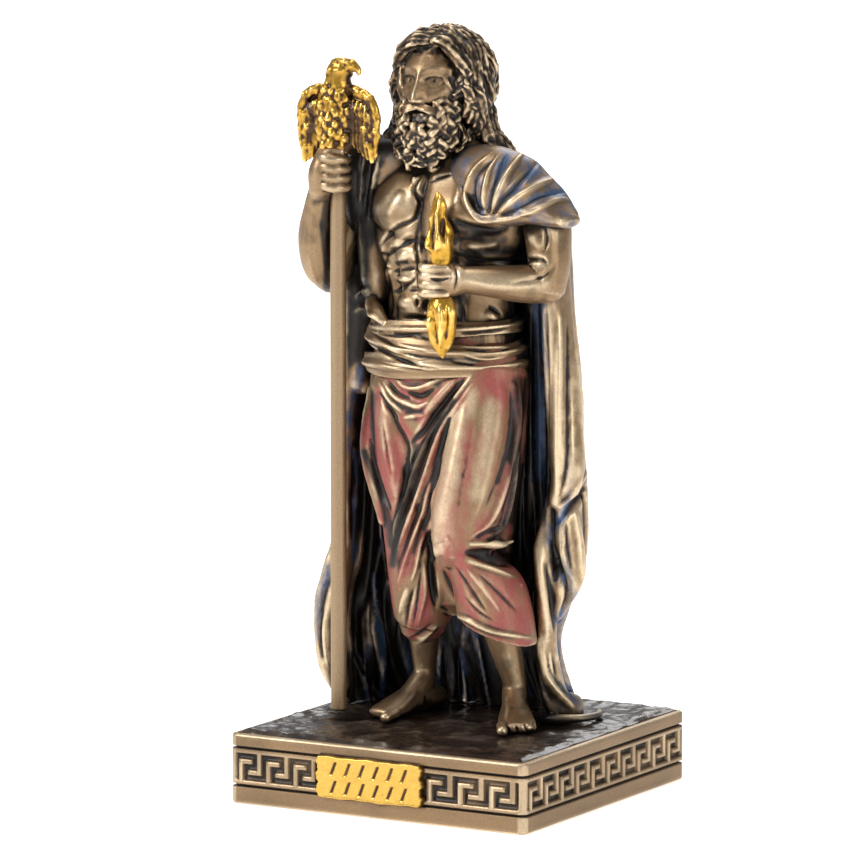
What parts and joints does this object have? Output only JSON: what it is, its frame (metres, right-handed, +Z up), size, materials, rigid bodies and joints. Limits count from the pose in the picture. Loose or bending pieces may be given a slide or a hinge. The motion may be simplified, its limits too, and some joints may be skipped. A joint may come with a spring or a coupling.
{
  "type": "zeus statue",
  "caption": "Small cold-cast bronze statue of a bearded god with an eagle sceptre and a thunderbolt, on a square plinth with a Greek key band.",
  "frame": {"origin": "middle of the plinth's flat underside", "axes": "+Z up, -Y towards the side with the nameplate, +X towards the figure's left hand"},
  "size_m": [0.038, 0.0387, 0.0873],
  "materials": {
    "bronze": "satin bronze with a dark wash in the hollows and dry-brushed highlights",
    "gold_paint": "satin metallic gold paint with a dark wash",
    "red_paint": "thin satin red paint, rubbed back to bronze on the folds",
    "blue_paint": "thin satin blue paint, rubbed back to bronze on the folds",
    "dark_ground": "glossy dark brown wash over rough ground"
  },
  "bodies": {
    "root": {"plinth": "bronze", "zeus_figure": "bronze", "eagle_sceptre": "bronze"}
  },
  "joints": []
}
